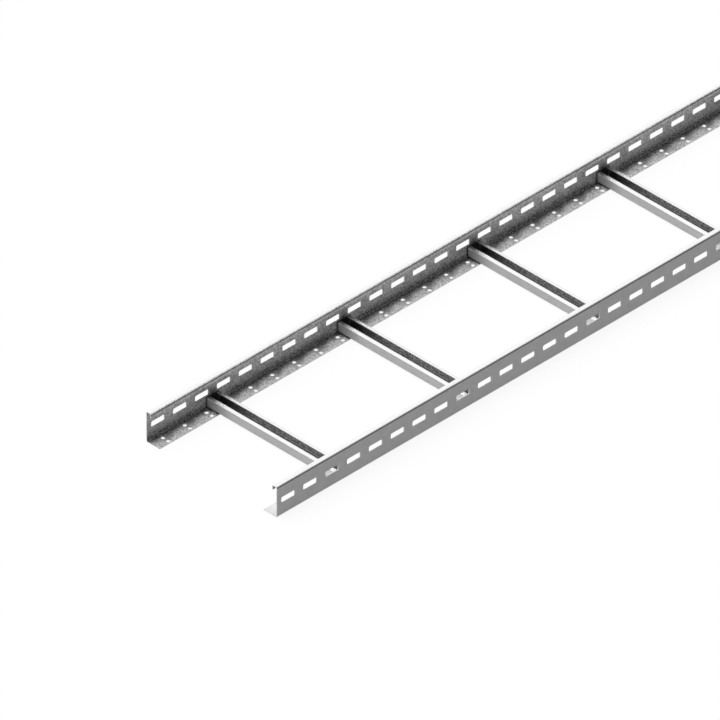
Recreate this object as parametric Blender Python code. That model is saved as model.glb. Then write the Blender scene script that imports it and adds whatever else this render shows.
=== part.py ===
"""Cable ladder lying on its flanges: two folded side rails and the channel rungs between them.

Units are metres, with +Z up. The ladder runs along X, and its origin is the middle of the
floor that it covers. Both rails are the same piece, turned end for end. Each rail and each
rung is one strip of galvanised sheet, folded by quarter turns and open to one side.
"""

import math

import bmesh
import bpy
from mathutils import Matrix, Vector

# Whole ladder
LADDER_LENGTH = 3.000
LADDER_WIDTH = 0.300

# Side rail, with the widths of its flats measured over the outside of the folds
RAIL_SHEET = 0.0015
RAIL_INNER_BEND = 0.0015
RAIL_HEIGHT = 0.060
FLANGE_WIDTH = 0.031
LIP_WIDTH = 0.011
RETURN_DEPTH = 0.0095

# Slots along the middle of the web, with a pair of round holes in the flange at each slot
PUNCH_PITCH = 0.050
SLOT_LENGTH = 0.030
SLOT_HEIGHT = 0.010
SLOT_CORNER = 0.002
HOLE_DIAMETER = 0.007
OUTER_HOLE_ROW = 0.013
INNER_HOLE_ROW = 0.025

# Rungs, channels that lie across the flanges with their open side up
RUNG_PITCH = 0.300
RUNG_SHEET = 0.0015
RUNG_INNER_BEND = 0.0015
RUNG_WIDTH = 0.030
RUNG_HEIGHT = 0.019
RUNG_LIP = 0.007
SEAT_GAP = 0.0003

# Smoothness of the folds, the slot corners and the round holes
BEND_STEPS = 3
CORNER_STEPS = 1
HOLE_SIDES = 8
SMOOTH_BELOW = math.radians(35)

# How far a punch stands out on each side of the sheet that it goes through
PUNCH_OVERRUN = 0.0005

# A pattern gets its last copy when only this share of a pitch is missing
ROUNDING_SHARE = 1e-6

# Zinc coating, a little brighter on the rungs
RAIL_ZINC = (0.46, 0.47, 0.48, 1.0)
RUNG_ZINC = (0.52, 0.53, 0.54, 1.0)
ZINC_METALLIC = 0.85
ZINC_ROUGHNESS = 0.45

QUARTER_TURN = math.pi / 2
ALONG_LADDER = Vector((1, 0, 0))
ACROSS_LADDER = Vector((0, 1, 0))


def clear_scene():
    """Remove every object that the scene starts with."""
    for item in list(bpy.data.objects):
        bpy.data.objects.remove(item, do_unlink=True)


def zinc_finish(name, colour):
    """A plain zinc coating in the given colour."""
    material = bpy.data.materials.new(name)
    material.use_nodes = True
    surface = material.node_tree.nodes["Principled BSDF"]
    surface.inputs["Base Color"].default_value = colour
    surface.inputs["Metallic"].default_value = ZINC_METALLIC
    surface.inputs["Roughness"].default_value = ZINC_ROUGHNESS
    material.diffuse_color = colour
    return material


def centred_pattern(length, pitch):
    """Places along a length, a pitch apart and with the same margin left at both ends."""
    count = max(1, int(length / pitch + ROUNDING_SHARE))
    first = -(count - 1) * pitch / 2
    return [first + index * pitch for index in range(count)]


def facing(heading):
    """Unit vector out of the right-hand side of something that runs at this heading."""
    return Vector((math.sin(heading), -math.cos(heading)))


def folded_section(start, heading, flats, sheet, inner_bend):
    """Outline of a strip that is folded a quarter turn to the left after each flat but the last.

    The strip starts at the point start. Its flats are measured over the outside of the folds,
    which is the right-hand side of the strip's way.
    """
    outer_bend = inner_bend + sheet
    fold_centre = Vector(start) - facing(heading) * outer_bend
    outside = [fold_centre + facing(heading) * outer_bend]
    inside = [fold_centre + facing(heading) * inner_bend]
    last = len(flats) - 1
    for index, flat in enumerate(flats):
        folds = (index > 0) + (index < last)
        forward = facing(heading + QUARTER_TURN)
        fold_centre = fold_centre + forward * (flat - folds * outer_bend)
        steps = BEND_STEPS if index < last else 0
        for step in range(steps + 1):
            turned = heading + step / BEND_STEPS * QUARTER_TURN
            outside.append(fold_centre + facing(turned) * outer_bend)
            inside.append(fold_centre + facing(turned) * inner_bend)
        heading += QUARTER_TURN
    return outside + inside[::-1]


def add_prism(form, outline, drawn_by):
    """Add the closed body that a flat outline sweeps when it is drawn out by a vector."""
    end_face = form.faces.new([form.verts.new(point) for point in outline])
    swept = bmesh.ops.extrude_face_region(form, geom=[end_face])["geom"]
    far_points = [item for item in swept if isinstance(item, bmesh.types.BMVert)]
    bmesh.ops.translate(form, vec=drawn_by, verts=far_points)


def finished_mesh(name, form):
    """Turn the form's faces outwards, smooth its folds and keep it as a mesh."""
    bmesh.ops.recalc_face_normals(form, faces=form.faces)
    mesh = bpy.data.meshes.new(name)
    form.to_mesh(mesh)
    form.free()
    mesh.shade_smooth()
    mesh.set_sharp_from_angle(angle=SMOOTH_BELOW)
    return mesh


def folded_bar(name, section, length):
    """Mesh of a section, given in Y and Z, drawn out along X and centred on the origin."""
    form = bmesh.new()
    end_outline = [(-length / 2, y, z) for y, z in section]
    add_prism(form, end_outline, ALONG_LADDER * length)
    return finished_mesh(name, form)


def rounded_rectangle(width, height, corner):
    """Points round a rectangle with rounded corners, centred on the origin."""
    points = []
    for quarter, (side_u, side_v) in enumerate(((1, 1), (-1, 1), (-1, -1), (1, -1))):
        corner_u = side_u * (width / 2 - corner)
        corner_v = side_v * (height / 2 - corner)
        for step in range(CORNER_STEPS + 1):
            angle = (quarter + step / CORNER_STEPS) * QUARTER_TURN
            points.append((corner_u + corner * math.cos(angle), corner_v + corner * math.sin(angle)))
    return points


def punch_mesh():
    """Every slot and hole of a rail as a closed body, in the rail's own place."""
    form = bmesh.new()
    depth = RAIL_SHEET + 2 * PUNCH_OVERRUN
    slot_outline = rounded_rectangle(SLOT_LENGTH, SLOT_HEIGHT, SLOT_CORNER)
    for x in centred_pattern(LADDER_LENGTH, PUNCH_PITCH):
        web_points = [(x + u, -PUNCH_OVERRUN, RAIL_HEIGHT / 2 + v) for u, v in slot_outline]
        add_prism(form, web_points, ACROSS_LADDER * depth)
        for row in (OUTER_HOLE_ROW, INNER_HOLE_ROW):
            bmesh.ops.create_cone(
                form,
                cap_ends=True,
                segments=HOLE_SIDES,
                radius1=HOLE_DIAMETER / 2,
                radius2=HOLE_DIAMETER / 2,
                depth=depth,
                matrix=Matrix.Translation((x, row, RAIL_SHEET / 2)),
            )
    return finished_mesh("rail_punches", form)


def placed(name, mesh, parent, location=(0, 0, 0), turn=0.0):
    """An object of the mesh, under its parent and turned about the vertical."""
    item = bpy.data.objects.new(name, mesh)
    bpy.context.scene.collection.objects.link(item)
    item.parent = parent
    item.location = location
    item.rotation_euler = (0, 0, turn)
    return item


def make_rails(ladder):
    """The two side rails, flanges inwards, each with its own row of punches."""
    section = folded_section(
        start=(LIP_WIDTH, RAIL_HEIGHT - RETURN_DEPTH),
        heading=QUARTER_TURN,
        flats=(RETURN_DEPTH, LIP_WIDTH, RAIL_HEIGHT, FLANGE_WIDTH),
        sheet=RAIL_SHEET,
        inner_bend=RAIL_INNER_BEND,
    )
    rail_mesh = folded_bar("folded_rail", section, LADDER_LENGTH)
    rail_mesh.materials.append(zinc_finish("rail_zinc", RAIL_ZINC))
    punches = punch_mesh()
    for side, across, turn in (("right", -LADDER_WIDTH / 2, 0.0), ("left", LADDER_WIDTH / 2, math.pi)):
        rail = placed(f"{side}_rail", rail_mesh, ladder, (0, across, 0), turn)
        punch = placed(f"{side}_rail_punches", punches, rail)
        punch.hide_render = True
        punch.display_type = "WIRE"
        cut = rail.modifiers.new("punched", "BOOLEAN")
        cut.operation = "DIFFERENCE"
        cut.solver = "EXACT"
        cut.object = punch


def make_rungs(ladder):
    """The rungs, which stand on both flanges and stop where the rails' folds begin."""
    section = folded_section(
        start=(RUNG_LIP - RUNG_WIDTH / 2, RUNG_HEIGHT),
        heading=2 * QUARTER_TURN,
        flats=(RUNG_LIP, RUNG_HEIGHT, RUNG_WIDTH, RUNG_HEIGHT, RUNG_LIP),
        sheet=RUNG_SHEET,
        inner_bend=RUNG_INNER_BEND,
    )
    rung_length = LADDER_WIDTH - 2 * (RAIL_SHEET + RAIL_INNER_BEND)
    rung_mesh = folded_bar("folded_rung", section, rung_length)
    rung_mesh.materials.append(zinc_finish("rung_zinc", RUNG_ZINC))
    seat = RAIL_SHEET + SEAT_GAP
    for number, x in enumerate(centred_pattern(LADDER_LENGTH, RUNG_PITCH), start=1):
        placed(f"rung_{number:02d}", rung_mesh, ladder, (x, 0, seat), QUARTER_TURN)


def main():
    clear_scene()
    ladder = placed("cable_ladder", None, None)
    make_rails(ladder)
    make_rungs(ladder)


main()
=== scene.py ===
"""Looks of a galvanised cable ladder: punched and folded rails, channel rungs, a pale floor.

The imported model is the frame: it gives every place and every overall size. Each rail and each
rung is made here as its maker makes it: a blank is punched, folded by quarter turns and given
the thickness of the sheet, and the result stands for the plain solid of the frame.
"""

import logging
import math
from dataclasses import dataclass, field
from enum import Enum
from typing import ClassVar, NamedTuple

import bmesh
import bpy
from mathutils import Matrix, Vector


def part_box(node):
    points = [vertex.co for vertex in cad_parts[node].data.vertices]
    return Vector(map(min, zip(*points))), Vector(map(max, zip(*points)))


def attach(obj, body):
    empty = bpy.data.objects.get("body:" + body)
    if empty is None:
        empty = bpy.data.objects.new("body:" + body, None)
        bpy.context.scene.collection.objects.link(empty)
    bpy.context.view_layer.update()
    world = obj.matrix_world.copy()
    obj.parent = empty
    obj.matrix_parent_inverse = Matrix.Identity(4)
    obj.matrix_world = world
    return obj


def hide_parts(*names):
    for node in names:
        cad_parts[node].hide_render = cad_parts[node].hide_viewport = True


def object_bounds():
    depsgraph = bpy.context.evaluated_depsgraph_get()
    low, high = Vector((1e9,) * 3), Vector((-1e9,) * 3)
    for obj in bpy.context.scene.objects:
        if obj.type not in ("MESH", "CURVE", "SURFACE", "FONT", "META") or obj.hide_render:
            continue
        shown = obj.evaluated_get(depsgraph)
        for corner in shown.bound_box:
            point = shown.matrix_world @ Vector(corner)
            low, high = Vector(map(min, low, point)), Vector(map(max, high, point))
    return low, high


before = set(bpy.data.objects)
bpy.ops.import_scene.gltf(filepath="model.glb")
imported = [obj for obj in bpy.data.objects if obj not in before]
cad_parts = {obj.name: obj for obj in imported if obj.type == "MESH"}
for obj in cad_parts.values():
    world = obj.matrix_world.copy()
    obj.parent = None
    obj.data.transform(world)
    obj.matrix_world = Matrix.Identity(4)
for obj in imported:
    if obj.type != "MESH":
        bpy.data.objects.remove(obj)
CAD_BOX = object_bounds()

REPORT = logging.getLogger("cable_ladder")
QUARTER_TURN = math.pi / 2

# Sheet, folds and punches, in metres, and how near two points lie that count as one
SHEET = 0.0015
INNER_BEND = 0.0015
OUTER_BEND = INNER_BEND + SHEET
PUNCH_PITCH = 0.050
TOUCHING = 0.00001

# Places on the ladder, read from the frame
HALF_LENGTH, HALF_WIDTH, RAIL_TOP = (float(value) for value in CAD_BOX[1])
RAIL_LOW, RAIL_HIGH = (Vector(corner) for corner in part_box("right_rail"))
RUNG_LOW, RUNG_HIGH = (Vector(corner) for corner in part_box("rung_01"))
FLANGE_WIDTH = RAIL_HIGH.y - RAIL_LOW.y
RUNG_HALF = (RUNG_HIGH.x - RUNG_LOW.x) / 2
RUNG_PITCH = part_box("rung_02")[0][0] - RUNG_LOW.x

# Least upward part of a top's normal, and least product of place and normal across the ladder
# on a side that looks outwards
UPWARDS = 0.7
SIDEWAYS = 0.05

Colour = tuple[float, float, float, float]


class Slot(Enum):
    """The record's material slots."""

    RAIL = "rail_zinc"
    RUNG = "rung_zinc"


class Turn(Enum):
    """How a piece is turned about the vertical when it is put in its place."""

    ALONG = 0.0
    ACROSS = QUARTER_TURN
    END_FOR_END = math.pi


def grey(level: float) -> Colour:
    """Give an even grey of this level."""
    return (level, level, level, 1.0)


def facing(heading: float) -> Vector:
    """Tell which way the right-hand side looks of a strip that runs at a heading, in radians."""
    return Vector((math.sin(heading), -math.cos(heading)))


class Term:
    """A value that varies over a surface and can be written into sums."""

    def __init__(self, bench: "NodeBench", socket: bpy.types.NodeSocket) -> None:
        """Stand for a node's output on a bench."""
        self.bench = bench
        self.socket = socket

    def __add__(self, other: "Term | float") -> "Term":
        """Add another value."""
        return self.bench.math("ADD", self, other)

    def __sub__(self, other: "Term | float") -> "Term":
        """Take another value away."""
        return self.bench.math("SUBTRACT", self, other)

    def __rsub__(self, other: float) -> "Term":
        """Take this value away from a number."""
        return self.bench.math("SUBTRACT", other, self)

    def __mul__(self, other: "Term | float") -> "Term":
        """Multiply by another value."""
        return self.bench.math("MULTIPLY", self, other)

    def __truediv__(self, other: "Term | float") -> "Term":
        """Divide by another value."""
        return self.bench.math("DIVIDE", self, other)

    def __pow__(self, other: "Term | float") -> "Term":
        """Raise to a power."""
        return self.bench.math("POWER", self, other)

    def __abs__(self) -> "Term":
        """Drop the sign."""
        return self.bench.math("ABSOLUTE", self)

    def above(self, limit: "Term | float") -> "Term":
        """Give 1 above a limit and 0 below it."""
        return self.bench.math("GREATER_THAN", self, limit)

    def below(self, limit: "Term | float") -> "Term":
        """Give 1 below a limit and 0 above it."""
        return self.bench.math("LESS_THAN", self, limit)

    def clamped(self) -> "Term":
        """Keep the last step of this sum between 0 and 1."""
        self.socket.node.use_clamp = True
        return self


class Triple(NamedTuple):
    """The three parts of a place or of a direction."""

    x: Term
    y: Term
    z: Term


class NodeBench:
    """Adds nodes to one node tree and joins them."""

    def __init__(self, tree: bpy.types.NodeTree) -> None:
        """Work on the node tree of a material, a world or a group."""
        self.tree = tree

    def feed(self, target: bpy.types.NodeSocket, value: object) -> None:
        """Give an input what it takes.

        Args:
            target: the input.
            value: a term or a node's output to join it to, or a plain value to set.
        """
        source = value.socket if isinstance(value, Term) else value
        if isinstance(source, bpy.types.NodeSocket):
            self.tree.links.new(source, target)
        else:
            target.default_value = source

    def add(self, kind: str, values: dict | None = None, **settings: object) -> bpy.types.Node:
        """Add a node.

        Args:
            kind: the node's type name, without the leading ShaderNode.
            values: what goes into each named or numbered input.
            settings: the node's own properties.

        Returns:
            The new node.
        """
        node = self.tree.nodes.new(f"ShaderNode{kind}")
        for name, setting in settings.items():
            setattr(node, name, setting)
        for name, value in (values or {}).items():
            self.feed(node.inputs[name], value)
        return node

    def math(self, operation: str, first: object, second: object = 0.0) -> Term:
        """Add one step of a sum, by the name of the Math node's operation."""
        return Term(self, self.add("Math", {0: first, 1: second}, operation=operation).outputs[0])

    def larger(self, first: object, second: object) -> Term:
        """Give the larger of two values."""
        return self.math("MAXIMUM", first, second)

    def smaller(self, first: object, second: object) -> Term:
        """Give the smaller of two values."""
        return self.math("MINIMUM", first, second)

    def choose(self, share: object, first: object, second: object) -> Term:
        """Add a mix of two values, at the node's inputs 2 and 3, with this share of the second."""
        return Term(self, self.add("Mix", {0: share, 2: first, 3: second}, data_type="FLOAT").outputs[0])

    def ramp(self, value: object, to: tuple, span: tuple = (0.0, 1.0)) -> Term:
        """Add a clamped change of range: what both ends of a span become."""
        ends = {"From Min": span[0], "From Max": span[1], "To Min": to[0], "To Max": to[1]}
        return Term(self, self.add("MapRange", {"Value": value} | ends).outputs["Result"])

    def ease(self, value: object, least: object) -> Term:
        """Add a smooth rise from a least value at 0 to 1 at 1."""
        values = {"Value": value, "To Min": least, "To Max": 1.0}
        return Term(self, self.add("MapRange", values, interpolation_type="SMOOTHSTEP").outputs["Result"])

    def distance(self, first: object, second: object) -> Term:
        """Add the length of the diagonal of two sides."""
        sides = self.add("CombineXYZ", {0: first, 1: second}).outputs[0]
        return Term(self, self.add("VectorMath", {0: sides}, operation="LENGTH").outputs["Value"])

    def from_middle(self, along: Term, pitch: Term) -> Term:
        """Measure a place along a row from the middle of the pitch that it falls in."""
        return (self.math("FRACT", along / pitch) - 0.5) * pitch

    def noise(self, scale: object, detail: float) -> Term:
        """Add a cloudy pattern that sticks to the piece, with this many clouds per metre."""
        values = {"Vector": self.place(), "Scale": scale, "Detail": detail}
        return Term(self, self.add("TexNoise", values).outputs["Fac"])

    def blend(
        self, share: object, first: object, second: object, mode: str = "MIX"
    ) -> bpy.types.NodeSocket:
        """Add a mix of two colours, at the node's inputs 6 and 7, with this share of the second."""
        values = {0: share, 6: first, 7: second}
        return self.add("Mix", values, data_type="RGBA", blend_type=mode).outputs[2]

    def place(self) -> bpy.types.NodeSocket:
        """Give the surface's place in the ladder's own frame."""
        return self.add("TexCoord").outputs["Object"]

    def split(self, vector: bpy.types.NodeSocket) -> Triple:
        """Take a place or a direction apart."""
        outputs = self.add("SeparateXYZ", {0: vector}).outputs
        return Triple(*(Term(self, outputs[axis]) for axis in "XYZ"))

    def normal(self) -> Triple:
        """Give the way that the surface looks."""
        return self.split(self.add("NewGeometry").outputs["Normal"])


class EffectGroup:
    """A shader node group with named inputs and outputs, built once and placed in many materials."""

    def __init__(self, name: str, inputs: dict[str, float], outputs: tuple[str, ...]) -> None:
        """Open a new group.

        Args:
            name: the group's name.
            inputs: the start value of each input, by name.
            outputs: the names of the outputs, all of them plain values.
        """
        self.tree = bpy.data.node_groups.new(name, "ShaderNodeTree")
        for label, start in inputs.items():
            socket = self.tree.interface.new_socket(label, in_out="INPUT", socket_type="NodeSocketFloat")
            socket.default_value = start
        for label in outputs:
            self.tree.interface.new_socket(label, in_out="OUTPUT", socket_type="NodeSocketFloat")
        self.bench = NodeBench(self.tree)
        sockets = self.tree.nodes.new("NodeGroupInput").outputs
        self.given = {label: Term(self.bench, sockets[label]) for label in inputs}
        self.result = self.tree.nodes.new("NodeGroupOutput").inputs

    def give(self, label: str, value: Term) -> None:
        """Send a value to the output of this name."""
        self.bench.feed(self.result[label], value)

    def put_in(self, bench: NodeBench, values: dict[str, float]) -> dict[str, Term]:
        """Place the group on a material's bench with the values that differ, and give its outputs."""
        outputs = bench.add("Group", values, node_tree=self.tree).outputs
        return {output.name: Term(bench, output) for output in outputs}


class Spangle(EffectGroup):
    """The mottle of a zinc coat: soft crystal patches under a fine grain.

    It puts out Tone, from 0 to 1, and Grain, a fine height from 0 to 1.
    """

    START = {"Patches Per Metre": 110.0, "Grain Per Metre": 900.0}
    WANDER = 0.006
    CRYSTAL_SHARE = 0.45
    CLOUD_SPAN = (0.3, 0.7)
    WARP_DETAIL = 2.0
    CLOUD_DETAIL = 4.0
    GRAIN_DETAIL = 3.0

    def __init__(self) -> None:
        """Build the group."""
        super().__init__("zinc_spangle", self.START, ("Tone", "Grain"))
        bench = self.bench
        fineness = self.given["Patches Per Metre"]
        place = bench.place()
        noise = {"Vector": place, "Scale": fineness, "Detail": self.WARP_DETAIL}
        warp = bench.add("TexNoise", noise).outputs["Color"]
        wander = bench.add("VectorMath", {0: warp, 1: (self.WANDER,) * 3}, operation="MULTIPLY").outputs[0]
        moved = bench.add("VectorMath", {0: place, 1: wander}, operation="ADD").outputs[0]
        crystals = bench.add("TexVoronoi", {"Vector": moved, "Scale": fineness}).outputs["Color"]
        crystal = Term(bench, bench.add("SeparateColor", {"Color": crystals}).outputs["Red"])
        cloud = bench.ramp(bench.noise(fineness, self.CLOUD_DETAIL), (0.0, 1.0), self.CLOUD_SPAN)
        self.give("Tone", crystal * self.CRYSTAL_SHARE + cloud * (1.0 - self.CRYSTAL_SHARE))
        self.give("Grain", bench.noise(self.given["Grain Per Metre"], self.GRAIN_DETAIL))


class PaintedFoldShade(EffectGroup):
    """Painted shade, mottled, that darkens the folds and hollows of the sheet by how closed in they are.

    It puts out Painted Light Factor, the painted shade as a factor from 0 deep in a fold to 1 in
    the open, and Inside, which is 1 where the sheet closes round the spot.
    """

    FOLD = {"Reach": 0.016, "Depth": 1.15, "Least": 0.45}
    MOTTLE = {
        "Mottle": 0.7,
        "Mottle Rise": 2.0,
        "Open Mottle": 0.0,
        "Flange Mottle": 0.0,
        "Mottle Per Metre": 420.0,
    }
    HOOK = {"Hook Z": RAIL_TOP - 0.018, "Hook Rise": 0.0055}
    AO_SAMPLES = 12
    SPECK_DETAIL = 1.0
    SPECK_SPAN = (0.32, 0.68)
    INSIDE_SPAN = (0.45, 0.85)

    def __init__(self) -> None:
        """Build the group."""
        super().__init__("painted_fold_shade", self.FOLD | self.MOTTLE | self.HOOK, ("Painted Light Factor", "Inside"))
        bench = self.bench
        given = self.given
        spot = bench.split(bench.place())
        normal = bench.normal()
        inwards = (spot.y * normal.y).below(-SIDEWAYS)
        upwards = normal.z.above(UPWARDS) * spot.z.below(given["Hook Z"])
        # Painted shade: the spot's ambient occlusion, raised to a power, darkens folds and hollows
        open_share = bench.choose(upwards, self.openness(only_local=True), self.openness(only_local=False))
        ao_darkening = bench.larger(open_share ** given["Depth"], given["Least"])
        in_hook = ((spot.z - given["Hook Z"]) / given["Hook Rise"]).clamped()
        painted_shade = bench.larger(ao_darkening, in_hook)
        cloud = bench.noise(given["Mottle Per Metre"], self.SPECK_DETAIL)
        speck = bench.ramp(cloud, (-1.0, 1.0), self.SPECK_SPAN)
        shade_mottle = bench.smaller((1.0 - painted_shade) * given["Mottle Rise"], 1.0) * given["Mottle"]
        in_the_open = inwards * given["Open Mottle"] + upwards * given["Flange Mottle"]
        self.give("Painted Light Factor", painted_shade * (speck * (shade_mottle + in_the_open) + 1.0))
        self.give("Inside", bench.ramp(open_share, (1.0, 0.0), self.INSIDE_SPAN))

    def openness(self, only_local: bool) -> Term:
        """Measure how open the sheet lies.

        Args:
            only_local: whether only the piece itself can shelter it, and not its neighbours.

        Returns:
            The share of the space over the spot that is free.
        """
        reach = {"Distance": self.given["Reach"]}
        node = self.bench.add("AmbientOcclusion", reach, samples=self.AO_SAMPLES, only_local=only_local)
        return Term(self.bench, node.outputs["AO"])


class FoldShadeLine(EffectGroup):
    """A painted shade line: a thin dark line where an upright wall runs into its top fold.

    It puts out Line, from 0 to 1 on the line.
    """

    START = {"Level": 0.057, "Width": 0.001, "Top": 0.8}

    def __init__(self) -> None:
        """Build the group."""
        super().__init__("painted_fold_shade_line", self.START, ("Line",))
        off_line = abs(self.bench.split(self.bench.place()).z - self.given["Level"])
        near_line = (1.0 - off_line / self.given["Width"]).clamped()
        upright = abs(self.bench.normal().z).below(self.given["Top"])
        self.give("Line", near_line * upright)


class RailCorner(EffectGroup):
    """Painted shade in a rail's corner: in the bottom fold, by each pair of holes and round the rungs.

    It puts out Painted Light Factor: 0 in the middle of painted shade, 1 clear of it, over 1 on top.
    """

    WEB = {"Fold Z": 0.001, "Fold Reach": 0.042, "Fold Least": 0.35, "Beside Rung Lift": 0.6, "Beside Rung Reach": 0.025}
    FLANGE = {
        "Flange Y": HALF_WIDTH - OUTER_BEND - SHEET,
        "Flange Reach": 0.0145,
        "Flange Least": 0.4,
        "Flange Light And Shade": 0.82,
        "Flange Darkest": 0.2,
        "End X": HALF_LENGTH - 0.04,
        "End Reach": 0.03,
        "End Least": 0.75,
    }
    HOLE_SHADE = {
        "Hole Shade Pitch": PUNCH_PITCH,
        "Hole Shade X": 0.01,
        "Hole Shade Y": HALF_WIDTH - 0.015,
        "Hole Shade Length": 0.026,
        "Hole Shade Width": 0.013,
        "Hole Shade Slope": 0.503,
        "Hole Shade Strength": 0.55,
        "Hole Shade Fall": 2.0,
        "Hole Shade Least": 0.25,
        "Least Off Foot": 0.012,
        "Full Off Foot": 0.03,
    }
    RUNG = {
        "Rung Pitch": RUNG_PITCH,
        "Channel": RUNG_HALF - SHEET,
        "Foot": RUNG_HALF + 0.0002,
        "Foot Reach": 0.003,
        "Foot Least": 0.35,
        "Seam": 0.85,
        "Seam Drop": 0.0025,
        "Mouth": 0.8,
        "Mouth Drop": 0.003,
    }
    MARK = {
        "Mark Z": RUNG_HIGH.z + 0.0032,
        "Mark Reach": 0.03,
        "Mark Fall": 4.0,
        "Mark": 0.9,
        "Drop Weight": -5.0,
        "Haze Reach": 0.07,
        "Haze": 0.44,
        "Haze Most": 0.22,
    }
    TOP = {"Top Z": RAIL_TOP - 0.012, "Top Highlight": 0.02}
    SEAM_SPAN = (-0.2, 0.8)

    def __init__(self) -> None:
        """Build the group."""
        inputs = self.WEB | self.FLANGE | self.HOLE_SHADE | self.RUNG | self.MARK | self.TOP
        super().__init__("rail_corner", inputs, ("Painted Light Factor",))
        bench = self.bench
        self.spot = bench.split(bench.place())
        self.ahead = bench.from_middle(self.spot.x, self.given["Rung Pitch"])
        self.off_foot = abs(self.ahead) - self.given["Foot"]
        self.beside = abs(self.ahead).above(self.given["Channel"])
        normal = bench.normal()
        upwards = normal.z.above(UPWARDS)
        outwards = (self.spot.y * normal.y).above(SIDEWAYS)
        near_side = self.spot.y.below(0.0)
        # Painted shade round the rungs goes on the left rail only
        web = self.web() * bench.larger(self.rung_end_shade(), near_side)
        below_top = bench.larger(bench.choose(upwards, web, self.flange()), outwards)
        # Painted highlight: the top's upward faces are made a little lighter
        highlit_top = upwards * self.given["Top Highlight"] + 1.0
        on_top = self.spot.z.above(self.given["Top Z"])
        self.give("Painted Light Factor", bench.choose(on_top, below_top, highlit_top))

    def web(self) -> Term:
        """Paint shade on the web above its bottom fold, and less of it beside a rung.

        Returns:
            How clean the web is.
        """
        given = self.given
        up_web = (self.spot.z - given["Fold Z"]) / given["Fold Reach"]
        painted_shade = self.bench.ramp(up_web, (1.0 - given["Fold Least"], 0.0))
        beside_rung_lift = self.bench.ramp(self.off_foot / given["Beside Rung Reach"], (given["Beside Rung Lift"], 0.0))
        return 1.0 - painted_shade * (1.0 - beside_rung_lift * self.beside)

    def flange(self) -> Term:
        """Paint shade on the flange by the fold, by the holes, at the rungs' feet and at the rail's ends.

        Returns:
            How clean the flange is.
        """
        bench = self.bench
        given = self.given
        inset = given["Flange Y"] - abs(self.spot.y)
        painted_shade = bench.ease(inset / given["Flange Reach"], given["Flange Least"])
        # This factor scales the whole flange's colour: below 1 it is painted shade, above 1 painted light
        flange_light_and_shade = given["Flange Light And Shade"] * (1.0 - self.hole_pair_shade())
        past_end = abs(self.spot.x) - given["End X"]
        end = bench.ramp(past_end / given["End Reach"], (1.0, given["End Least"]))
        foot = bench.ramp(self.off_foot / given["Foot Reach"], (given["Foot Least"], 1.0))
        return bench.larger(painted_shade * flange_light_and_shade * end * foot, given["Flange Darkest"])

    def hole_pair_shade(self) -> Term:
        """Shape the slanted oval of painted shade by each pair of holes, weaker near a rung's foot.

        Returns:
            How dull the run is, and 0 away from it.
        """
        bench = self.bench
        given = self.given
        along = bench.from_middle(self.spot.x - given["Hole Shade X"], given["Hole Shade Pitch"])
        across = abs(self.spot.y) - given["Hole Shade Y"]
        lengthwise = bench.math("COSINE", given["Hole Shade Slope"])
        sidewise = bench.math("SINE", given["Hole Shade Slope"])
        in_length = (along * lengthwise + across * sidewise) / given["Hole Shade Length"]
        in_width = (across * lengthwise - along * sidewise) / given["Hole Shade Width"]
        from_core = bench.distance(in_length, in_width)
        core = (1.0 - from_core * from_core).clamped()
        off_span = (given["Least Off Foot"], given["Full Off Foot"])
        clear_of_rung = bench.ramp(self.off_foot, (given["Hole Shade Least"], 1.0), off_span)
        return core ** given["Hole Shade Fall"] * (given["Hole Shade Strength"] * clear_of_rung)

    def rung_end_shade(self) -> Term:
        """Paint shade round a rung's end on the web: a dark mark in a wide haze, the seam, the channel.

        Returns:
            How clean the web is.
        """
        bench = self.bench
        given = self.given
        over = self.spot.z - given["Mark Z"]
        under = over * (self.beside * given["Drop Weight"])
        from_rung = bench.distance(self.ahead, bench.larger(over, under))
        near_rung = (1.0 - from_rung / given["Mark Reach"]).clamped()
        mark = near_rung ** given["Mark Fall"] * given["Mark"]
        round_rung = (1.0 - from_rung / given["Haze Reach"]).clamped()
        haze = bench.smaller(round_rung * given["Haze"], given["Haze Most"])
        mouth = (1.0 - self.beside) * (over + given["Mouth Drop"]).below(0.0) * given["Mouth"]
        seam = bench.ramp(self.off_foot / given["Foot Reach"], (given["Seam"], 0.0), self.SEAM_SPAN)
        low_seam = seam * (over + given["Seam Drop"]).below(0.0)
        return (1.0 - mark) * (1.0 - haze) * (1.0 - bench.larger(mouth, low_seam))


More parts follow.
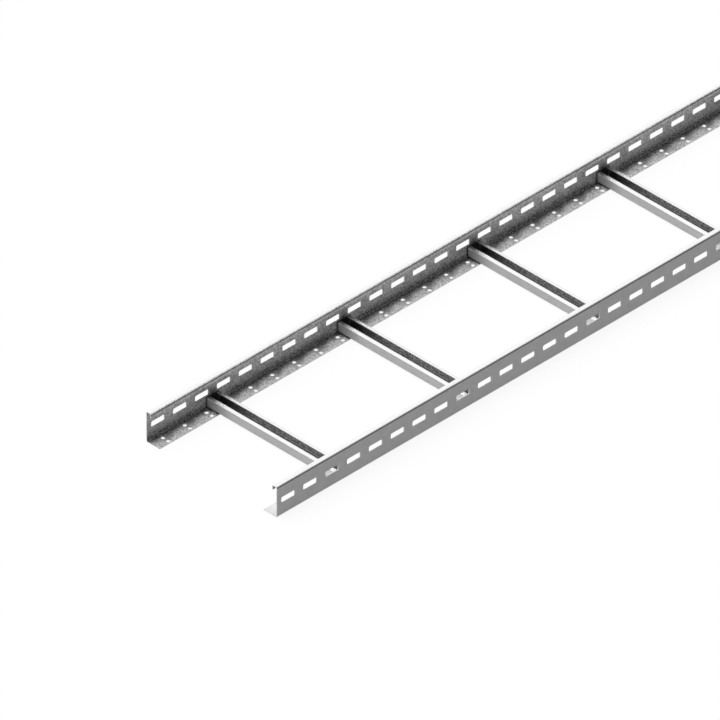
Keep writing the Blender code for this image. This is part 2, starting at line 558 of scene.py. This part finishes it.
class RungEnd(EffectGroup):
    """Painted shade towards a rung's end at the left rail and on the bottom of its channel.

    It puts out Painted Light Factor for the open faces and Deep for those in the channel.
    """

    ENDS = {
        "Web Y": HALF_WIDTH - SHEET,
        "Side Reach": 0.068,
        "Side Least": 0.52,
        "Lip Reach": 0.034,
        "Lip Least": 0.14,
        "Channel Reach": 0.12,
        "Channel Least": 0.06,
    }
    JOINT = {
        "Flange Y": HALF_WIDTH - FLANGE_WIDTH - 0.0005,
        "Foot Z": RUNG_LOW.z,
        "Foot Reach": 0.0035,
        "Foot Least": 0.3,
        "Gap": 0.0015,
        "Gap Reach": 0.002,
        "Gap Least": 0.12,
    }
    CHANNEL = {"Wall Z": 0.006, "Wall Top Z": 0.0175, "Wall Least": 0.52, "Wall Most": 1.3, "Bottom": 0.72}

    def __init__(self) -> None:
        """Build the group."""
        super().__init__("rung_end", self.ENDS | self.JOINT | self.CHANNEL, ("Painted Light Factor", "Deep"))
        bench = self.bench
        given = self.given
        spot = bench.split(bench.place())
        upwards = bench.normal().z.above(UPWARDS)
        from_web = given["Web Y"] - spot.y
        side = bench.ease(from_web / given["Side Reach"], given["Side Least"])
        lip = bench.ease(from_web / given["Lip Reach"], given["Lip Least"])
        # Painted shade lines: along the rung's foot over the flange and at its end by the web
        over_foot = (spot.z - given["Foot Z"]) / given["Foot Reach"]
        foot = bench.ramp(over_foot, (given["Foot Least"], 1.0))
        seat = bench.larger(foot, spot.y.below(given["Flange Y"]))
        past_gap = (from_web - given["Gap"]) / given["Gap Reach"]
        gap = bench.ramp(past_gap, (given["Gap Least"], 1.0))
        self.give("Painted Light Factor", bench.choose(upwards, side, lip) * (seat * gap))
        channel = bench.ease(from_web / given["Channel Reach"], given["Channel Least"])
        # Painted light and shade on the channel walls: darker low down, lighter than the coat up by the
        # lips
        up_wall = (given["Wall Z"], given["Wall Top Z"])
        wall = bench.ramp(spot.z, (given["Wall Least"], given["Wall Most"]), up_wall)
        on_bottom = spot.z.below(given["Foot Z"] + given["Foot Reach"]) * upwards
        self.give("Deep", channel * (wall * (1.0 - on_bottom * given["Bottom"])))


@dataclass(frozen=True)
class Effects:
    """The node groups that the finishes share."""

    spangle: Spangle = field(default_factory=Spangle)
    fold_shading: PaintedFoldShade = field(default_factory=PaintedFoldShade)
    shade_line: FoldShadeLine = field(default_factory=FoldShadeLine)
    corner: RailCorner = field(default_factory=RailCorner)
    end: RungEnd = field(default_factory=RungEnd)


@dataclass(frozen=True)
class ShadeLine:
    """The painted dark shade line along a top fold.

    Args:
        level: its height, in metres.
        width: half of its width, in metres.
        strength: how dark it is.
        top: how far round the fold it may reach, as the upright part of the surface's normal.
        colour: its colour.
    """

    level: float
    width: float
    strength: float = 0.97
    top: float = 0.8
    colour: Colour = grey(0.012)


@dataclass(frozen=True)
class ZincFinish:
    """Matt galvanised sheet.

    Args:
        name: the material's name.
        painted_shade: settings of the painted fold shade, by the name of its group's input.
        shade_line: the painted dark shade line along the sheet's top folds.
        dark: the colour of the duller crystal patches.
        light: the colour of the brighter ones.
        metallic: share of bare metal in the surface.
        smooth: roughness of the brighter patches.
        rough: roughness of the duller ones.
        grain: strength of the fine grain.
        grain_height: its height, in metres.
    """

    name: str
    painted_shade: dict[str, float]
    shade_line: ShadeLine
    dark: Colour = grey(0.76)
    light: Colour = grey(0.82)
    metallic: float = 0.1
    smooth: float = 0.46
    rough: float = 0.6
    grain: float = 0.12
    grain_height: float = 0.0002

    def extra_painted_shade(self, bench: NodeBench, effects: Effects, inside: Term) -> Term:
        """Paint shade on the piece by its own joints: 1 where there is none, less where there is."""
        raise NotImplementedError

    def material(self, effects: Effects) -> bpy.types.Material:
        """Make the material.

        Args:
            effects: the shared node groups.

        Returns:
            The finished material.
        """
        material = bpy.data.materials.new(self.name)
        material.use_nodes = True
        bench = NodeBench(material.node_tree)
        surface = material.node_tree.nodes["Principled BSDF"].inputs
        spangle = effects.spangle.put_in(bench, {})
        painted_shade = effects.fold_shading.put_in(bench, self.painted_shade)
        # Painted shade: the fold shade times the piece's own painted shade darkens the zinc's colour
        painted_light_factor = painted_shade["Painted Light Factor"] * self.extra_painted_shade(bench, effects, painted_shade["Inside"])
        # Painted shade: a near black line along the top folds
        line = {"Level": self.shade_line.level, "Width": self.shade_line.width, "Top": self.shade_line.top}
        shade_lined = effects.shade_line.put_in(bench, line)["Line"] * self.shade_line.strength
        zinc = bench.blend(spangle["Tone"], self.dark, self.light)
        shaded_zinc = bench.blend(1.0, zinc, painted_light_factor, mode="MULTIPLY")
        grain = {"Strength": self.grain, "Distance": self.grain_height, "Height": spangle["Grain"]}
        bench.feed(surface["Base Color"], bench.blend(shade_lined, shaded_zinc, self.shade_line.colour))
        bench.feed(surface["Roughness"], bench.ramp(spangle["Tone"], (self.rough, self.smooth)))
        bench.feed(surface["Normal"], bench.add("Bump", grain).outputs["Normal"])
        surface["Metallic"].default_value = self.metallic
        return material


@dataclass(frozen=True)
class RailZinc(ZincFinish):
    """The rails' sheet.

    Args:
        corner: settings of the painted shade in the rail's corner, by the name of their group's input.
    """

    corner: dict[str, float] = field(default_factory=dict)

    def extra_painted_shade(self, bench: NodeBench, effects: Effects, inside: Term) -> Term:
        """Paint shade in the bottom fold, by the pairs of holes and at the rungs' joints."""
        return effects.corner.put_in(bench, self.corner)["Painted Light Factor"]


@dataclass(frozen=True)
class RungZinc(ZincFinish):
    """The rungs' sheet."""

    def extra_painted_shade(self, bench: NodeBench, effects: Effects, inside: Term) -> Term:
        """Paint shade on the rung towards its end, on its open faces and in its channel."""
        end = effects.end.put_in(bench, {})
        return bench.choose(inside, end["Painted Light Factor"], end["Deep"])


@dataclass(frozen=True)
class CutEdgeFinish:
    """The sheared edge of the sheet, brighter than its coat.

    Args:
        name: the material's name.
        dark: the colour of the torn part of the edge.
        light: the colour of the sheared part.
        metallic: share of bare metal in the surface.
        patches: crystal patches per metre.
        grains: grains per metre.
        grain_span: where the range of its grain starts and ends.
        roughness: roughness at these two.
    """

    name: str
    dark: Colour = grey(0.86)
    light: Colour = grey(0.92)
    metallic: float = 0.35
    patches: float = 500.0
    grains: float = 2500.0
    grain_span: tuple[float, float] = (0.3, 0.7)
    roughness: tuple[float, float] = (0.35, 0.55)

    def material(self, effects: Effects) -> bpy.types.Material:
        """Make the material.

        Args:
            effects: the shared node groups.

        Returns:
            The finished material.
        """
        material = bpy.data.materials.new(self.name)
        material.use_nodes = True
        bench = NodeBench(material.node_tree)
        surface = material.node_tree.nodes["Principled BSDF"].inputs
        fineness = {"Patches Per Metre": self.patches, "Grain Per Metre": self.grains}
        spangle = effects.spangle.put_in(bench, fineness)
        bench.feed(surface["Base Color"], bench.blend(spangle["Tone"], self.dark, self.light))
        bench.feed(surface["Roughness"], bench.ramp(spangle["Grain"], self.roughness, self.grain_span))
        surface["Metallic"].default_value = self.metallic
        return material


@dataclass(frozen=True)
class FoldedStrip:
    """A strip of sheet that turns left by a quarter turn after each flat but the last.

    Args:
        start: where the strip starts, in its section.
        heading: its first way, in radians.
        flats: widths of the flats over the outside of the folds.
        bend_steps: facets in each fold.
    """

    start: tuple[float, float]
    heading: float
    flats: tuple[float, ...]
    bend_steps: int = 8

    def skin(self) -> list[list[Vector]]:
        """Lay out the strip's outer skin.

        Returns:
            For each flat, and for each fold after it, the list of its points in the section.
        """
        runs = []
        heading = self.heading
        place = Vector(self.start)
        last = len(self.flats) - 1
        for index, flat in enumerate(self.flats):
            folds = (index > 0) + (index < last)
            forward = facing(heading + QUARTER_TURN)
            flat_end = place + forward * (flat - folds * OUTER_BEND)
            runs.append([place, flat_end])
            if index < last:
                centre = flat_end - facing(heading) * OUTER_BEND
                steps = range(self.bend_steps + 1)
                turns = [heading + step / self.bend_steps * QUARTER_TURN for step in steps]
                runs.append([centre + facing(turned) * OUTER_BEND for turned in turns])
                place = runs[-1][-1]
            heading += QUARTER_TURN
        return runs


@dataclass(frozen=True)
class Punch:
    """A round-cornered opening punched in a flat.

    Args:
        middle: its centre: how far along the length, and how far across the section.
        length: its size along the length.
        width: its size across.
        corner: radius of its corners, half of the width on a round hole.
        corner_steps: facets in each corner.
    """

    middle: tuple[float, float]
    length: float
    width: float
    corner: float
    corner_steps: int = 6

    def outline(self) -> list[tuple[float, float]]:
        """Work out the opening's outline.

        Returns:
            Its points, along the length and across, in order round the opening.
        """
        points: list[tuple[float, float]] = []
        for quarter, (side_u, side_v) in enumerate(((1, 1), (-1, 1), (-1, -1), (1, -1))):
            corner_u = self.middle[0] + side_u * (self.length / 2 - self.corner)
            corner_v = self.middle[1] + side_v * (self.width / 2 - self.corner)
            for step in range(self.corner_steps + 1):
                angle = (quarter + step / self.corner_steps) * QUARTER_TURN
                point = (corner_u + self.corner * math.cos(angle), corner_v + self.corner * math.sin(angle))
                if not points or math.dist(point, points[-1]) > TOUCHING:
                    points.append(point)
        if math.dist(points[0], points[-1]) < TOUCHING:
            points.pop()
        return points


class SheetShaper:
    """Makes one stretch of a punched and folded strip as an open skin, X along the strip's length."""

    def __init__(self, strip: FoldedStrip, length: float) -> None:
        """Start a stretch.

        Args:
            strip: the strip's section.
            length: how long the stretch is, centred on X = 0.
        """
        self.strip = strip
        self.length = length
        self.form = bmesh.new()
        self.rows: list[list[list[bmesh.types.BMVert]]] = []

    def lay_out(self) -> None:
        """Put down the points of both ends of the stretch, each point of the section once."""
        for end in (-self.length / 2, self.length / 2):
            rows: list[list[bmesh.types.BMVert]] = []
            for run in self.strip.skin():
                first = rows[-1][-1] if rows else self.form.verts.new((end, *run[0]))
                rows.append([first] + [self.form.verts.new((end, *point)) for point in run[1:]])
            self.rows.append(rows)

    def skin_over(self, punches: dict[int, list[Punch]]) -> None:
        """Cover the section with faces and leave the punched openings out.

        Args:
            punches: the openings of each punched flat, by the flat's number.
        """
        for run, (near, far) in enumerate(zip(*self.rows)):
            # Each flat but the last has its fold after it
            flat, is_fold = divmod(run, 2)
            openings = [] if is_fold else punches.get(flat, [])
            for step in range(len(near) - 1):
                corners = (near[step], near[step + 1], far[step + 1], far[step])
                if openings:
                    self.fill_round(corners, openings)
                else:
                    self.form.faces.new(corners)

    def fill_round(self, corners: tuple[bmesh.types.BMVert, ...], openings: list[Punch]) -> None:
        """Fill a flat between its border and the openings in it.

        Args:
            corners: the flat's corners, in order.
            openings: what is punched in it.
        """
        across = (corners[1].co - corners[0].co).normalized()
        along = (corners[3].co - corners[0].co).normalized()
        outwards = across.cross(along)
        origin = (corners[0].co + corners[3].co) / 2
        loops = [list(corners)]
        for opening in openings:
            points = [origin + along * u + across * v for u, v in opening.outline()]
            loops.append([self.form.verts.new(point) for point in points])
        edges = []
        for loop in loops:
            for pair in zip(loop, loop[1:] + loop[:1]):
                edges.append(self.form.edges.get(pair) or self.form.edges.new(pair))
        filled = bmesh.ops.triangle_fill(self.form, edges=edges, use_beauty=True, normal=outwards)
        for face in filled["geom"]:
            if isinstance(face, bmesh.types.BMFace) and face.normal.dot(outwards) < 0:
                face.normal_flip()

    def finish(self, name: str) -> bpy.types.Mesh:
        """Close the work.

        Args:
            name: the mesh's name.

        Returns:
            The skin as a mesh.
        """
        mesh = bpy.data.meshes.new(name)
        self.form.to_mesh(mesh)
        self.form.free()
        return mesh


@dataclass(frozen=True)
class SheetPress:
    """Turns an open skin into a piece of sheet with thickness and broken edges.

    Args:
        edge_break: width of the small chamfer along each cut edge.
        edge_angle: how sharp an edge is before it is broken.
        smooth_below: the sharpest fold that is shaded smooth.
    """

    edge_break: float = 0.00015
    edge_angle: float = math.radians(60)
    smooth_below: float = math.radians(30)

    def repeat(self, piece: bpy.types.Object, copies: int, pitch: float) -> None:
        """Set the pitches of a piece in a row.

        Args:
            piece: the piece, of one pitch.
            copies: how many pitches it has.
            pitch: how far apart they are, along X.
        """
        row = piece.modifiers.new("pitches", "ARRAY")
        row.count = copies
        row.use_relative_offset = False
        row.use_constant_offset = True
        row.constant_offset_displace = (pitch, 0.0, 0.0)
        row.use_merge_vertices = True
        row.merge_threshold = TOUCHING

    def thicken(self, piece: bpy.types.Object) -> None:
        """Give a skin the thickness of the sheet, on its inner side, and break its edges.

        Args:
            piece: the piece, an open skin.
        """
        gauge = piece.modifiers.new("gauge", "SOLIDIFY")
        gauge.thickness = SHEET
        gauge.offset = -1.0
        gauge.use_even_offset = True
        gauge.material_offset_rim = 1
        edge = piece.modifiers.new("edge", "BEVEL")
        edge.width = self.edge_break
        edge.segments = 1
        edge.limit_method = "ANGLE"
        edge.angle_limit = self.edge_angle
        edge.use_clamp_overlap = False

    def press(self, name: str, skin: bpy.types.Mesh, copies: int, pitch: float) -> bpy.types.Object:
        """Make the piece.

        Args:
            name: the piece's name.
            skin: the outer skin of one pitch, normals outwards.
            copies: how many pitches the piece has.
            pitch: how far apart they are, along X.

        Returns:
            The piece, centred on X = 0.
        """
        for _ in ("coat", "cut edge"):
            skin.materials.append(None)
        piece = bpy.data.objects.new(name, skin)
        bpy.context.scene.collection.objects.link(piece)
        if copies > 1:
            self.repeat(piece, copies, pitch)
        self.thicken(piece)
        bpy.context.view_layer.update()
        graph = bpy.context.evaluated_depsgraph_get()
        made = bpy.data.meshes.new_from_object(piece.evaluated_get(graph), depsgraph=graph)
        piece.modifiers.clear()
        piece.data = made
        made.transform(Matrix.Translation((-(copies - 1) * pitch / 2, 0.0, 0.0)))
        made.shade_smooth()
        made.set_sharp_from_angle(angle=self.smooth_below)
        weighted = piece.modifiers.new("flat_shading", "WEIGHTED_NORMAL")
        weighted.mode = "FACE_AREA"
        weighted.keep_sharp = True
        return piece


@dataclass
class SheetPart:
    """A part of the ladder that is folded from one strip.

    Args:
        node: the frame's node that it stands for.
    """

    slot: ClassVar[Slot]

    node: str

    def build(self) -> bpy.types.Object:
        """Make the part in its place."""
        raise NotImplementedError

    def dress(self, piece: bpy.types.Object, zinc: bpy.types.Material, edge: bpy.types.Material) -> None:
        """Give the part its finish and put it in its node's stead.

        Args:
            piece: the part's piece.
            zinc: the material of its coat.
            edge: the material of its cut edges.
        """
        for place, material in enumerate((zinc, edge)):
            piece.data.materials[place] = material
        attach(piece, "root")
        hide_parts(self.node)


@dataclass
class SideRail(SheetPart):
    """A side rail: return, lip, web with slots, and flange with pairs of holes.

    Args:
        turn: how it is turned into its place.
        return_depth: how far the return hangs down from the lip.
        lip_width: width of the top lip.
        slot_length: length of the slots in the web.
        slot_height: their height.
        slot_corner: radius of their corners.
        hole_diameter: diameter of the holes in the flange.
        hole_rows: how far from the outer face the rows of holes lie.
    """

    slot = Slot.RAIL
    WEB_FLAT: ClassVar[int] = 2
    FLANGE_FLAT: ClassVar[int] = 3

    turn: Turn
    return_depth: float = 0.0095
    lip_width: float = 0.011
    slot_length: float = 0.030
    slot_height: float = 0.010
    slot_corner: float = 0.002
    hole_diameter: float = 0.007
    hole_rows: tuple[float, float] = (0.013, 0.025)

    def punches(self, height: float) -> dict[int, list[Punch]]:
        """Place the openings of one pitch.

        Args:
            height: the rail's height.

        Returns:
            The slot of the web and the holes of the flange, by the flat's number.
        """
        slot_middle = (0.0, height / 2 - OUTER_BEND)
        slot = Punch(slot_middle, self.slot_length, self.slot_height, self.slot_corner)
        radius = self.hole_diameter / 2
        holes = [Punch((0.0, row - OUTER_BEND), 2 * radius, 2 * radius, radius) for row in self.hole_rows]
        return {self.WEB_FLAT: [slot], self.FLANGE_FLAT: holes}

    def build(self) -> bpy.types.Object:
        """Make the rail in its place.

        Returns:
            The rail's piece.
        """
        low, high = (Vector(corner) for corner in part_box(self.node))
        size = high - low
        strip = FoldedStrip(
            start=(self.lip_width, size.z - self.return_depth),
            heading=QUARTER_TURN,
            flats=(self.return_depth, self.lip_width, size.z, size.y),
        )
        shaper = SheetShaper(strip, PUNCH_PITCH)
        shaper.lay_out()
        shaper.skin_over(self.punches(size.z))
        skin = shaper.finish(f"{self.node}_skin")
        copies = round(size.x / PUNCH_PITCH)
        piece = SheetPress().press(f"{self.node}_sheet", skin, copies, PUNCH_PITCH)
        across = low.y if self.turn is Turn.ALONG else high.y
        place = Matrix.Translation(((low.x + high.x) / 2, across, low.z))
        piece.data.transform(place @ Matrix.Rotation(self.turn.value, 4, "Z"))
        return piece


@dataclass
class ChannelRung(SheetPart):
    """A rung: a channel with its open side up, between two flat lips.

    Args:
        lip_width: width of the lips.
    """

    slot = Slot.RUNG

    lip_width: float = 0.007

    def build(self) -> bpy.types.Object:
        """Make the rung in its place.

        Returns:
            The rung's piece.
        """
        low, high = (Vector(corner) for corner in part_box(self.node))
        size = high - low
        strip = FoldedStrip(
            start=(self.lip_width - size.x / 2, size.z),
            heading=2 * QUARTER_TURN,
            flats=(self.lip_width, size.z, size.x, size.z, self.lip_width),
        )
        shaper = SheetShaper(strip, size.y)
        shaper.lay_out()
        shaper.skin_over({})
        skin = shaper.finish(f"{self.node}_skin")
        piece = SheetPress().press(f"{self.node}_sheet", skin, copies=1, pitch=size.y)
        middle = (low + high) / 2
        place = Matrix.Translation((middle.x, middle.y, low.z))
        piece.data.transform(place @ Matrix.Rotation(Turn.ACROSS.value, 4, "Z"))
        return piece


@dataclass(frozen=True)
class Lamp:
    """A far, soft lamp.

    Args:
        name: its name.
        strength: what it gives to a surface that faces it.
        azimuth: the way it comes from, in degrees from +X towards +Y.
        elevation: its height over the horizon, in degrees.
        softness: how wide it looks, in degrees.
    """

    name: str
    strength: float
    azimuth: float
    elevation: float
    softness: float

    def build(self) -> None:
        """Put the lamp up."""
        light = bpy.data.lights.new(self.name, "SUN")
        light.energy = self.strength
        light.angle = math.radians(self.softness)
        lamp = bpy.data.objects.new(self.name, light)
        bpy.context.scene.collection.objects.link(lamp)
        azimuth, elevation = math.radians(self.azimuth), math.radians(self.elevation)
        towards = Vector((math.cos(azimuth), math.sin(azimuth), 0.0)) * math.cos(elevation)
        towards.z = math.sin(elevation)
        lamp.rotation_euler = towards.to_track_quat("Z", "Y").to_euler()


@dataclass(frozen=True)
class Studio:
    """Pale floor, white surroundings, soft lamps and the camera of the photograph.

    Args:
        sky: what the surroundings give to the object.
        floor_half: half of the floor's side, in metres.
        floor_tone: the floor's own grey, which throws light back on the object.
        seen_tone: the share of the seen floor that takes light and shadow.
        seen_glow: the share of the seen floor that is always white.
        lens: focal length, in millimetres on the camera's 36 mm sensor.
        distance: from the camera to what it looks at, in metres.
        clip: how near and how far the camera sees, in metres.
        frame_right: how far the picture's middle lies right of the ladder's near lower corner.
        frame_up: how far it lies above that corner, in the picture's plane.
        lamps: the lamps.
    """

    sky: float = 0.30
    floor_half: float = 200.0
    floor_tone: float = 0.12
    seen_tone: float = 0.10
    seen_glow: float = 0.89
    lens: float = 1700.0
    distance: float = 54.883
    clip: tuple[float, float] = (1.0, 500.0)
    frame_right: float = 0.1339
    frame_up: float = 0.25462
    lamps: tuple[Lamp, ...] = (Lamp("key", strength=2.8, azimuth=123.0, elevation=66.7, softness=56.0),)

    def seen_directly(self, bench: NodeBench) -> Term:
        """Tell camera, mirror and glass rays from the rest.

        Args:
            bench: the bench of the floor's or the world's node tree.

        Returns:
            A term that is 1 for those rays and 0 for the rest.
        """
        path = bench.add("LightPath").outputs
        either = bench.larger(path["Is Camera Ray"], path["Is Glossy Ray"])
        return bench.larger(either, path["Is Transmission Ray"])

    def build_world(self) -> None:
        """Make the surroundings white to look at and softer as a light."""
        world = bpy.data.worlds.new("white_surroundings")
        world.use_nodes = True
        bpy.context.scene.world = world
        bench = NodeBench(world.node_tree)
        background = world.node_tree.nodes["Background"].inputs
        background["Color"].default_value = grey(1.0)
        strength = bench.ramp(self.seen_directly(bench), (self.sky, 1.0))
        bench.feed(background["Strength"], strength)

    def floor_material(self) -> bpy.types.Material:
        """Make a floor that looks white and keeps the ladder's soft shadow.

        Returns:
            The floor's material.
        """
        material = bpy.data.materials.new("pale_floor")
        material.use_nodes = True
        nodes = material.node_tree.nodes
        nodes.remove(nodes["Principled BSDF"])
        bench = NodeBench(material.node_tree)
        plain = bench.add("BsdfDiffuse", {"Color": grey(self.floor_tone)}).outputs[0]
        lit = bench.add("BsdfDiffuse", {"Color": grey(self.seen_tone)}).outputs[0]
        glow = bench.add("Emission", {"Color": grey(1.0), "Strength": self.seen_glow}).outputs[0]
        seen = bench.add("AddShader", {0: lit, 1: glow}).outputs[0]
        choice = bench.add("MixShader", {0: self.seen_directly(bench), 1: plain, 2: seen}).outputs[0]
        bench.feed(nodes["Material Output"].inputs["Surface"], choice)
        return material

    def build_floor(self) -> None:
        """Lay the floor."""
        half = self.floor_half
        corners = [(-half, -half, 0.0), (half, -half, 0.0), (half, half, 0.0), (-half, half, 0.0)]
        mesh = bpy.data.meshes.new("studio_floor")
        mesh.from_pydata(corners, [], [(0, 1, 2, 3)])
        mesh.materials.append(self.floor_material())
        floor = bpy.data.objects.new("studio_floor", mesh)
        bpy.context.scene.collection.objects.link(floor)

    def build_camera(self) -> None:
        """Put the camera at the photograph's true isometric angle, far away with a long lens."""
        forward = Vector((1.0, 1.0, -1.0)).normalized()
        right = Vector((1.0, -1.0, 0.0)).normalized()
        up = right.cross(forward)
        middle = Vector(CAD_BOX[0]) + right * self.frame_right + up * self.frame_up
        data = bpy.data.cameras.new("camera")
        data.lens = self.lens
        data.clip_start, data.clip_end = self.clip
        camera = bpy.data.objects.new("camera", data)
        camera.location = middle - forward * self.distance
        camera.rotation_euler = forward.to_track_quat("-Z", "Y").to_euler()
        bpy.context.scene.collection.objects.link(camera)
        bpy.context.scene.camera = camera

    def build(self) -> None:
        """Set up the whole studio."""
        bpy.context.scene.view_settings.view_transform = "Standard"
        self.build_world()
        self.build_floor()
        self.build_camera()
        for lamp in self.lamps:
            lamp.build()


# Lit and shaded copies of the rails' zinc: the left rail's has more painted shade, the right rail's less,
# with painted light on its flange
PAINTED_SHADE_RAIL = RailZinc(
    "rail_zinc_painted_shade",
    painted_shade={"Open Mottle": 0.4, "Flange Mottle": 0.4},
    shade_line=ShadeLine(level=RAIL_TOP - 0.0032, width=0.0022, top=0.45),
)
PAINTED_LIGHT_RAIL = RailZinc(
    "rail_zinc_painted_light",
    painted_shade={"Depth": 0.15, "Least": 0.8, "Mottle": 0.2, "Open Mottle": 0.08},
    shade_line=ShadeLine(level=RAIL_TOP - 0.0021, width=0.0025),
    corner={"Fold Least": 0.75, "Flange Least": 1.0, "Flange Light And Shade": 1.13, "Hole Shade Strength": 0.05},
)
RUNG_SHEET = RungZinc(
    "rung_zinc",
    painted_shade={"Reach": 0.05, "Depth": 1.2, "Least": 0.85, "Mottle": 2.2},
    shade_line=ShadeLine(level=RUNG_HIGH.z - 0.003, width=0.001, strength=0.3),
)
CUT_EDGE = CutEdgeFinish("cut_edge")


def main() -> None:
    """Build the studio and the ladder, piece by piece."""
    logging.basicConfig(level=logging.INFO, format="%(message)s")
    Studio().build()
    effects = Effects()
    shaded_rail_zinc = PAINTED_SHADE_RAIL.material(effects)
    lit_rail_zinc = PAINTED_LIGHT_RAIL.material(effects)
    rung_zinc = RUNG_SHEET.material(effects)
    cut_edge = CUT_EDGE.material(effects)
    rails = [(SideRail("right_rail", Turn.ALONG), lit_rail_zinc)]
    rails.append((SideRail("left_rail", Turn.END_FOR_END), shaded_rail_zinc))
    rung_nodes = sorted(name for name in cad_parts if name.startswith("rung_"))
    rungs = [(ChannelRung(node), rung_zinc) for node in rung_nodes]
    for part, zinc in rails + rungs:
        piece = part.build()
        part.dress(piece, zinc, cut_edge)
        REPORT.info("%s: %d faces", piece.name, len(piece.data.polygons))


if __name__ == "__main__":
    main()
